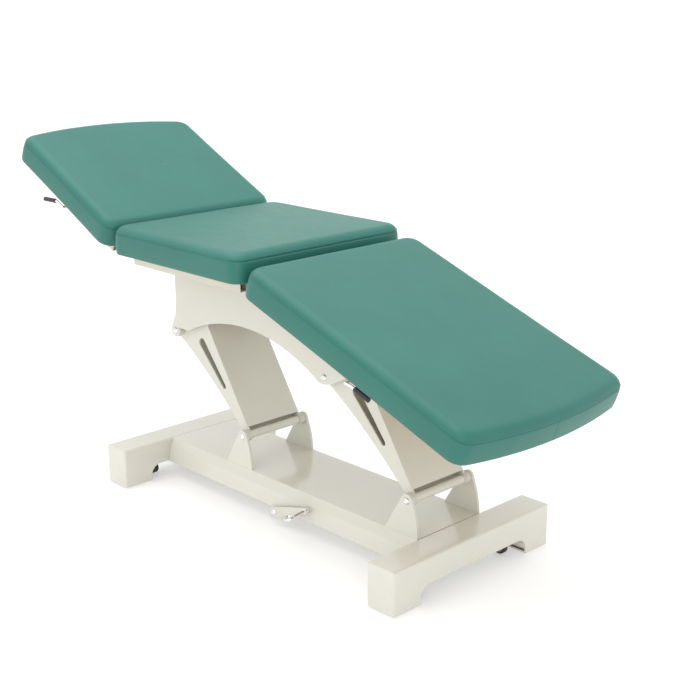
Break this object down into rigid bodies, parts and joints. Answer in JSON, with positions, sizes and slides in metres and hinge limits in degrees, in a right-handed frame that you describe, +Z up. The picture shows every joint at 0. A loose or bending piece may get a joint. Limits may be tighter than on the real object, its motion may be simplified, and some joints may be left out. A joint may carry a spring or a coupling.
{
  "type": "medical examination table",
  "caption": "Three-section upholstered examination table with tilting back and leg sections on a parallelogram lift over a low base with a castor pedal.",
  "frame": {"origin": "on the floor, at the middle of the overall length and width", "axes": "+X towards the leg end, +Y across the table away from the side with the levers, +Z up"},
  "size_m": [1.8807, 0.615, 1.0378],
  "materials": {
    "powder_coat": "semi-gloss",
    "vinyl": "smooth vinyl with a soft sheen",
    "plywood": "bare",
    "chrome": "polished",
    "steel": "zinc plated",
    "bearing_plastic": "moulded",
    "black_plastic": "moulded",
    "black_rubber": "matte",
    "tyre": "matte",
    "grey_plastic": "moulded"
  },
  "bodies": {
    "base": {"base_beam": "powder_coat", "front_foot": "powder_coat", "rear_foot": "powder_coat", "foot_pads": "black_rubber", "base_ears": "powder_coat", "lower_shafts": "steel", "lower_pivot_caps": "chrome", "pedal_brackets": "powder_coat", "castor_shaft_bearings": "steel"},
    "front_arm": {"front_arm": "powder_coat", "front_arm_bushes": "bearing_plastic"},
    "rear_arm": {"rear_arm": "powder_coat", "rear_arm_bushes": "bearing_plastic"},
    "upper_frame": {"side_plates": "powder_coat", "seat_frame": "powder_coat", "cross_tubes": "powder_coat", "seat_board": "plywood", "seat_cushion": "vinyl", "upper_shafts": "steel", "upper_pivot_caps": "chrome", "back_hinge_seat_leaf": "steel", "back_hinge_pin": "steel", "leg_hinge_pins": "steel"},
    "back_section": {"back_frame": "powder_coat", "back_board": "plywood", "back_cushion": "vinyl", "back_hinge_back_leaf": "steel"},
    "leg_section": {"leg_frame": "powder_coat", "leg_board": "plywood", "leg_cushion": "vinyl"},
    "back_lever": {"back_lever_rod": "chrome", "back_lever_grip": "black_plastic"},
    "leg_lever": {"leg_lever_rod": "chrome", "leg_lever_grip": "black_plastic"},
    "castor_pedal": {"pedal_shaft": "steel", "pedal_plate": "powder_coat", "pedal_loop": "chrome", "pedal_bolt": "chrome"},
    "castor_link": {"castor_link": "steel"},
    "front_rocker": {"front_castor_rocker": "steel"},
    "rear_rocker": {"rear_castor_rocker": "steel"},
    "fork_front_near": {"castor_fork_front_near": "steel"},
    "wheel_front_near": {"castor_wheel_front_near": "grey_plastic", "castor_tyre_front_near": "tyre"},
    "fork_front_far": {"castor_fork_front_far": "steel"},
    "wheel_front_far": {"castor_wheel_front_far": "grey_plastic", "castor_tyre_front_far": "tyre"},
    "fork_rear_near": {"castor_fork_rear_near": "steel"},
    "wheel_rear_near": {"castor_wheel_rear_near": "grey_plastic", "castor_tyre_rear_near": "tyre"},
    "fork_rear_far": {"castor_fork_rear_far": "steel"},
    "wheel_rear_far": {"castor_wheel_rear_far": "grey_plastic", "castor_tyre_rear_far": "tyre"}
  },
  "joints": [
    {"name": "lift", "type": "hinge", "parent": "base", "child": "front_arm", "pos_m": [0.566, 0, 0.214], "axis": [0, 1, 0], "range_deg": [-32, 34]},
    {"name": "rear_arm_pivot", "type": "hinge", "parent": "base", "child": "rear_arm", "pos_m": [-0.088, 0, 0.214], "axis": [0, 1, 0], "range_deg": [-32, 34]},
    {"name": "frame_pivot", "type": "hinge", "parent": "front_arm", "child": "upper_frame", "pos_m": [0.26305, 0, 0.47366], "axis": [0, 1, 0], "range_deg": [-34, 32]},
    {"name": "back_tilt", "type": "hinge", "parent": "upper_frame", "child": "back_section", "pos_m": [-0.4345, 0, 0.786], "axis": [0, 1, 0], "range_deg": [-26.2, 48.8]},
    {"name": "leg_tilt", "type": "hinge", "parent": "upper_frame", "child": "leg_section", "pos_m": [0.0995, 0, 0.712], "axis": [0, 1, 0], "range_deg": [-19.7, 5.2]},
    {"name": "back_release", "type": "hinge", "parent": "back_section", "child": "back_lever", "pos_m": [-0.6839, -0.28, 0.83182], "axis": [0, 1, 0], "range_deg": [0, 6], "stiffness_Nm_per_rad": 1},
    {"name": "leg_release", "type": "hinge", "parent": "leg_section", "child": "leg_lever", "pos_m": [0.53212, -0.28, 0.56156], "axis": [0, 1, 0], "range_deg": [0, 6], "stiffness_Nm_per_rad": 1},
    {"name": "pedal", "type": "hinge", "parent": "base", "child": "castor_pedal", "pos_m": [0.0835, -0.1, 0.042], "axis": [0, 1, 0], "range_deg": [0, 14]},
    {"name": "link_slide", "type": "slide", "parent": "base", "child": "castor_link", "axis": [1, 0, 0], "range_m": [0, 0.0045]},
    {"name": "front_rocker_turn", "type": "hinge", "parent": "base", "child": "front_rocker", "pos_m": [0.62, 0, 0.078], "axis": [0, 1, 0], "range_deg": [0, 14]},
    {"name": "rear_rocker_turn", "type": "hinge", "parent": "base", "child": "rear_rocker", "pos_m": [-0.445, 0, 0.078], "axis": [0, -1, 0], "range_deg": [0, 14]},
    {"name": "swivel_front_near", "type": "hinge", "parent": "front_rocker", "child": "fork_front_near", "pos_m": [0.651, -0.164, 0.064], "axis": [0, 0, 1], "continuous": true},
    {"name": "spin_front_near", "type": "hinge", "parent": "fork_front_near", "child": "wheel_front_near", "pos_m": [0.645, -0.164, 0.023], "axis": [0, 1, 0], "continuous": true},
    {"name": "swivel_front_far", "type": "hinge", "parent": "front_rocker", "child": "fork_front_far", "pos_m": [0.651, 0.164, 0.064], "axis": [0, 0, 1], "continuous": true},
    {"name": "spin_front_far", "type": "hinge", "parent": "fork_front_far", "child": "wheel_front_far", "pos_m": [0.645, 0.164, 0.023], "axis": [0, 1, 0], "continuous": true},
    {"name": "swivel_rear_near", "type": "hinge", "parent": "rear_rocker", "child": "fork_rear_near", "pos_m": [-0.476, -0.164, 0.064], "axis": [0, 0, 1], "continuous": true},
    {"name": "spin_rear_near", "type": "hinge", "parent": "fork_rear_near", "child": "wheel_rear_near", "pos_m": [-0.482, -0.164, 0.023], "axis": [0, 1, 0], "continuous": true},
    {"name": "swivel_rear_far", "type": "hinge", "parent": "rear_rocker", "child": "fork_rear_far", "pos_m": [-0.476, 0.164, 0.064], "axis": [0, 0, 1], "continuous": true},
    {"name": "spin_rear_far", "type": "hinge", "parent": "fork_rear_far", "child": "wheel_rear_far", "pos_m": [-0.482, 0.164, 0.023], "axis": [0, 1, 0], "continuous": true}
  ],
  "couplings": [
    {"joint": "rear_arm_pivot", "follows": "lift", "ratio": 1},
    {"joint": "frame_pivot", "follows": "lift", "ratio": -1},
    {"joint": "link_slide", "follows": "pedal", "m_per_rad": 0.018},
    {"joint": "front_rocker_turn", "follows": "pedal", "ratio": 1},
    {"joint": "rear_rocker_turn", "follows": "pedal", "ratio": 1}
  ]
}
